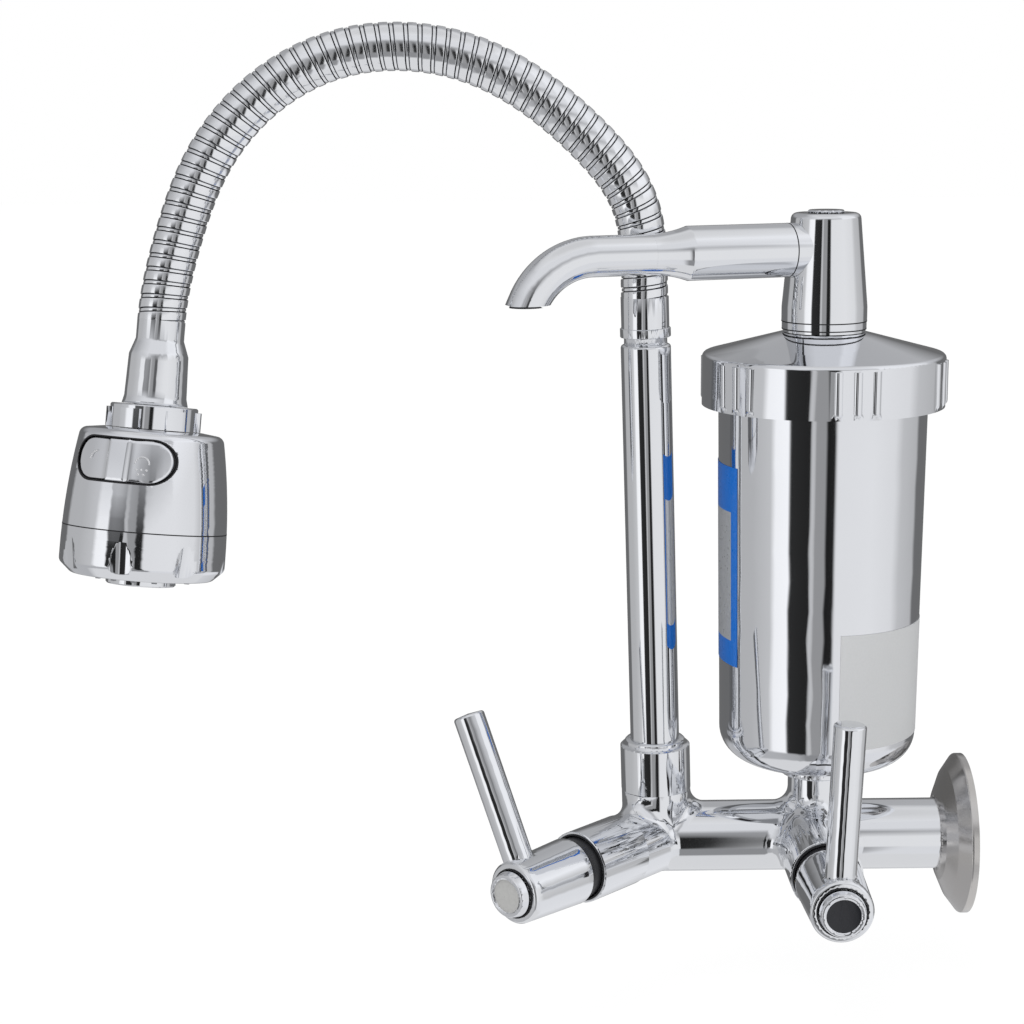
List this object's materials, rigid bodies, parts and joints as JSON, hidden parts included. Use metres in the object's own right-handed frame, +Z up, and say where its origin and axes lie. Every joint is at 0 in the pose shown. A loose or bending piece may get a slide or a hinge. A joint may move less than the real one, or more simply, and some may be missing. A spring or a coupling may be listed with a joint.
{
  "type": "drinking water filter tap",
  "caption": "Wall-mounted kitchen tap with a filter cup and its own swivel spout, and a ribbed gooseneck hose with a two-mode spray head, each fed by a lever valve.",
  "frame": {"origin": "on the supply pipe's axis at the wall, where the wall flange's rim rests", "axes": "+Y along the pipe into the wall, +X towards the side that the levers stand on, +Z up"},
  "size_m": [0.1294, 0.3358, 0.3319],
  "materials": {
    "plated_metal": "bright chrome plate",
    "bare_steel": "plain stainless steel",
    "hose_steel": "polished wound steel strip, closed ribs",
    "plated_plastic": "chrome-plated moulded plastic",
    "brass_part": "bare turned brass",
    "black_plastic": "black moulded plastic",
    "white_plastic": "white moulded plastic",
    "grey_plastic": "grey soft-touch plastic",
    "black_rubber": "black sealing rubber",
    "carbon": "pressed carbon block in a white sleeve",
    "disc_ceramic": "lapped ceramic"
  },
  "bodies": {
    "tap_body": {"body_casting": "plated_metal", "inlet_strainer": "bare_steel", "riser_nut": "plated_metal", "cup_bush": "plated_metal", "filter_cup": "plated_plastic", "cartridge_block": "carbon", "cartridge_base": "white_plastic", "cartridge_top": "white_plastic", "filter_valve_bonnet": "plated_metal", "filter_valve_guide": "brass_part", "filter_valve_washer": "black_rubber", "filter_valve_fixed_disc": "disc_ceramic", "filter_valve_gland": "black_plastic", "hose_valve_bonnet": "plated_metal", "hose_valve_guide": "brass_part", "hose_valve_washer": "black_rubber", "hose_valve_fixed_disc": "disc_ceramic", "hose_valve_gland": "black_plastic"},
    "wall_cover": {"wall_flange": "plated_metal", "flange_seal": "black_rubber"},
    "filter_lever": {"filter_valve_spindle": "brass_part", "filter_valve_moving_disc": "disc_ceramic", "filter_lever_hub": "plated_metal", "filter_lever_rod": "plated_metal", "filter_lever_screw": "bare_steel", "filter_lever_cap": "plated_plastic"},
    "hose_lever": {"hose_valve_spindle": "brass_part", "hose_valve_moving_disc": "disc_ceramic", "hose_lever_hub": "plated_metal", "hose_lever_rod": "plated_metal", "hose_lever_screw": "bare_steel", "hose_lever_cap": "plated_plastic"},
    "cup_cap": {"filter_cap": "plated_plastic", "cup_seal": "black_rubber", "cap_nipple": "plated_metal", "swivel_seals": "black_rubber"},
    "drinking_spout": {"swivel_ring": "black_plastic", "swivel_body": "plated_metal", "swivel_cap": "plated_plastic", "spout_sleeve": "plated_metal", "filter_spout": "plated_metal", "spout_liner": "black_plastic"},
    "riser": {"riser_tube": "plated_metal", "riser_seals": "black_rubber", "hose_ferrule": "plated_metal", "hose_span_1": "hose_steel"},
    "hose_middle": {"hose_span_2": "hose_steel"},
    "hose_fall": {"hose_span_3": "hose_steel"},
    "hose_end": {"hose_span_4": "hose_steel", "hose_connector": "plated_metal"},
    "spray_head": {"head_collar": "plated_plastic", "head_shell": "plated_plastic", "head_core": "white_plastic", "button_pin": "bare_steel", "lower_ring": "plated_plastic", "spray_face": "grey_plastic", "aerator": "plated_metal", "aerator_screen": "bare_steel"},
    "mode_rocker": {"mode_button": "plated_plastic"}
  },
  "joints": [
    {"name": "cover_slide", "type": "slide", "parent": "tap_body", "child": "wall_cover", "axis": [0, -1, 0], "range_m": [0, 0.02]},
    {"name": "filter_lever_turn", "type": "hinge", "parent": "tap_body", "child": "filter_lever", "pos_m": [0, -0.0585, 0], "axis": [1, 0, 0], "range_deg": [0, 90]},
    {"name": "hose_lever_turn", "type": "hinge", "parent": "tap_body", "child": "hose_lever", "pos_m": [0, -0.11605, 0], "axis": [0.7314, -0.682, 0], "range_deg": [-26, 64]},
    {"name": "cap_lift", "type": "slide", "parent": "tap_body", "child": "cup_cap", "axis": [0, 0, 1], "range_m": [0, 0.016]},
    {"name": "spout_swivel", "type": "hinge", "parent": "cup_cap", "child": "drinking_spout", "pos_m": [0, -0.0564, 0.2], "axis": [0, 0, 1], "range_deg": [0, 90]},
    {"name": "riser_swivel", "type": "hinge", "parent": "tap_body", "child": "riser", "pos_m": [0, -0.11605, 0], "axis": [0.0052, -0.0272, 0.9996], "range_deg": [-100, 100]},
    {"name": "hose_bend_1", "type": "hinge", "parent": "riser", "child": "hose_middle", "pos_m": [0.00144, -0.14672, 0.26706], "axis": [1, 0.004, -0.0034], "range_deg": [-6, 6]},
    {"name": "hose_bend_2", "type": "hinge", "parent": "hose_middle", "child": "hose_fall", "pos_m": [0.00181, -0.21061, 0.29345], "axis": [1, 0.0052, 0], "range_deg": [-6, 6]},
    {"name": "hose_bend_3", "type": "hinge", "parent": "hose_fall", "child": "hose_end", "pos_m": [0.00352, -0.27181, 0.26302], "axis": [0.9977, 0.0445, 0.0518], "range_deg": [-6, 6]},
    {"name": "head_swivel", "type": "hinge", "parent": "hose_end", "child": "spray_head", "pos_m": [0.01183, -0.29443, 0.19821], "axis": [0.1478, -0.0955, -0.9844], "continuous": true},
    {"name": "mode_press", "type": "hinge", "parent": "spray_head", "child": "mode_rocker", "pos_m": [0.03743, -0.30418, 0.15251], "axis": [0.1478, -0.0955, -0.9844], "range_deg": [-8, 0]}
  ],
  "couplings": [
    {"joint": "hose_bend_2", "follows": "hose_bend_1", "ratio": 1},
    {"joint": "hose_bend_3", "follows": "hose_bend_1", "ratio": 1}
  ]
}
